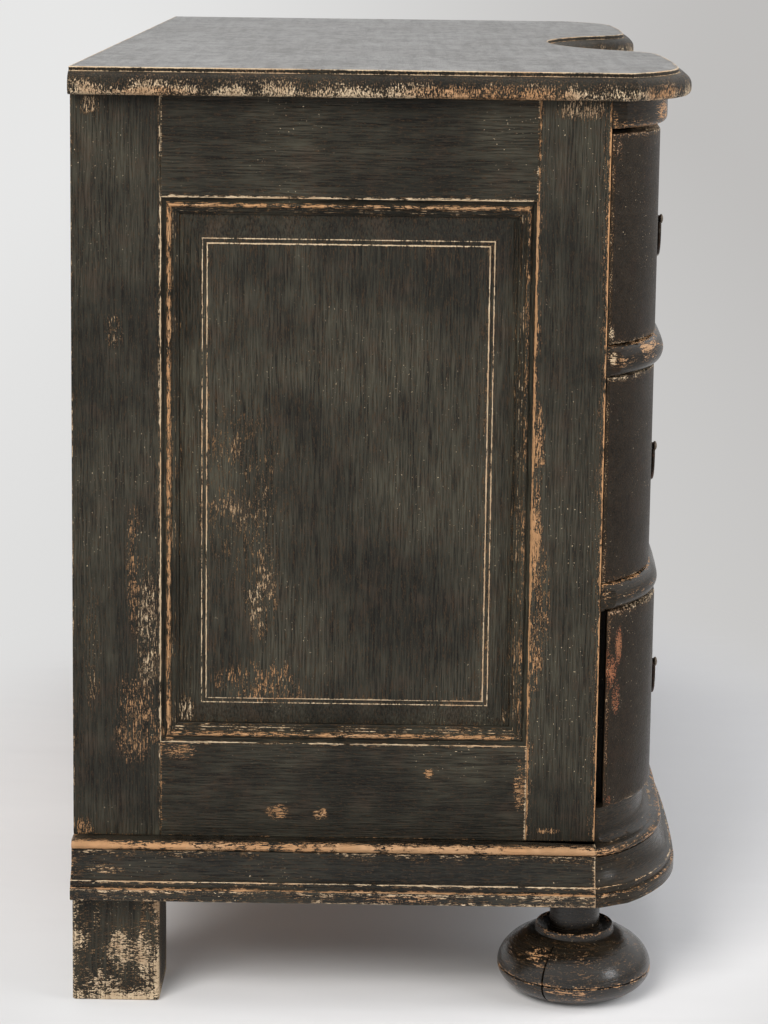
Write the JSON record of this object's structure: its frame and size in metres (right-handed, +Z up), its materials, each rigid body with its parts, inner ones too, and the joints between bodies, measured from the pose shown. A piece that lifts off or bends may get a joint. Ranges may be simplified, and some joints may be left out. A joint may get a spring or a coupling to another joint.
{
  "type": "chest of drawers",
  "caption": "Serpentine-front commode in worn black paint, with sliding drawers, drop handles, framed side panels, a moulded base, bun feet in front and block feet behind.",
  "frame": {"origin": "on the floor, under the middle of the bounding box", "axes": "+Z up, the drawers open towards -Y, +X along the length"},
  "size_m": [1.182, 0.5582, 0.85],
  "materials": {
    "painted_case": "satin black paint, worn through to orange-brown wood and cream primer at the edges",
    "painted_top": "satin black paint, dry and brushed, worn along the edges",
    "painted_front": "satin black paint, rubbed on the rounded rails",
    "bare_wood": "old unfinished wood",
    "iron": "dark patinated metal"
  },
  "bodies": {
    "case": {"top_board": "painted_top", "frieze": "painted_front", "dividing_rail_upper": "painted_front", "dividing_rail_lower": "painted_front", "fascia": "painted_front", "base_moulding_front": "painted_front", "back_panel": "bare_wood", "floor_board": "bare_wood", "rear_stile_right": "painted_case", "front_stile_right": "painted_case", "side_top_rail_right": "painted_case", "side_bottom_rail_right": "painted_case", "side_panel_right": "painted_case", "base_moulding_right": "painted_case", "block_foot_right": "painted_case", "runner_lower_right": "bare_wood", "runner_middle_right": "bare_wood", "runner_upper_right": "bare_wood", "bun_foot_right": "painted_case", "rear_stile_left": "painted_case", "front_stile_left": "painted_case", "side_top_rail_left": "painted_case", "side_bottom_rail_left": "painted_case", "side_panel_left": "painted_case", "base_moulding_left": "painted_case", "block_foot_left": "painted_case", "runner_lower_left": "bare_wood", "runner_middle_left": "bare_wood", "runner_upper_left": "bare_wood", "bun_foot_left": "painted_case"},
    "drawer_upper": {"drawer_front_upper": "painted_front", "drawer_side_left_upper": "bare_wood", "drawer_side_right_upper": "bare_wood", "drawer_back_upper": "bare_wood", "drawer_bottom_upper": "bare_wood", "handle_plate_left_upper": "iron", "handle_plate_right_upper": "iron", "keyhole_plate_upper": "iron"},
    "drawer_middle": {"drawer_front_middle": "painted_front", "drawer_side_left_middle": "bare_wood", "drawer_side_right_middle": "bare_wood", "drawer_back_middle": "bare_wood", "drawer_bottom_middle": "bare_wood", "handle_plate_left_middle": "iron", "handle_plate_right_middle": "iron", "keyhole_plate_middle": "iron"},
    "drawer_lower": {"drawer_front_lower": "painted_front", "drawer_side_left_lower": "bare_wood", "drawer_side_right_lower": "bare_wood", "drawer_back_lower": "bare_wood", "drawer_bottom_lower": "bare_wood", "handle_plate_left_lower": "iron", "handle_plate_right_lower": "iron", "keyhole_plate_lower": "iron"},
    "handle_left_upper": {"bail_left_upper": "iron"},
    "handle_right_upper": {"bail_right_upper": "iron"},
    "handle_left_middle": {"bail_left_middle": "iron"},
    "handle_right_middle": {"bail_right_middle": "iron"},
    "handle_left_lower": {"bail_left_lower": "iron"},
    "handle_right_lower": {"bail_right_lower": "iron"}
  },
  "joints": [
    {"name": "drawer_upper_slide", "type": "slide", "parent": "case", "child": "drawer_upper", "axis": [0, -1, 0], "range_m": [0, 0.33]},
    {"name": "drawer_middle_slide", "type": "slide", "parent": "case", "child": "drawer_middle", "axis": [0, -1, 0], "range_m": [0, 0.33]},
    {"name": "drawer_lower_slide", "type": "slide", "parent": "case", "child": "drawer_lower", "axis": [0, -1, 0], "range_m": [-0.006, 0.324]},
    {"name": "bail_left_upper_lift", "type": "hinge", "parent": "drawer_upper", "child": "handle_left_upper", "pos_m": [-0.34718, -0.25398, 0.705], "axis": [-1, 0, 0], "range_deg": [0, 90]},
    {"name": "bail_right_upper_lift", "type": "hinge", "parent": "drawer_upper", "child": "handle_right_upper", "pos_m": [0.34718, -0.25398, 0.705], "axis": [-1, 0, 0], "range_deg": [0, 90]},
    {"name": "bail_left_middle_lift", "type": "hinge", "parent": "drawer_middle", "child": "handle_left_middle", "pos_m": [-0.34718, -0.25398, 0.489], "axis": [-1, 0, 0], "range_deg": [0, 90]},
    {"name": "bail_right_middle_lift", "type": "hinge", "parent": "drawer_middle", "child": "handle_right_middle", "pos_m": [0.34718, -0.25398, 0.489], "axis": [-1, 0, 0], "range_deg": [0, 90]},
    {"name": "bail_left_lower_lift", "type": "hinge", "parent": "drawer_lower", "child": "handle_left_lower", "pos_m": [-0.34718, -0.25998, 0.2785], "axis": [-1, 0, 0], "range_deg": [0, 90]},
    {"name": "bail_right_lower_lift", "type": "hinge", "parent": "drawer_lower", "child": "handle_right_lower", "pos_m": [0.34718, -0.25998, 0.2785], "axis": [-1, 0, 0], "range_deg": [0, 90]}
  ]
}
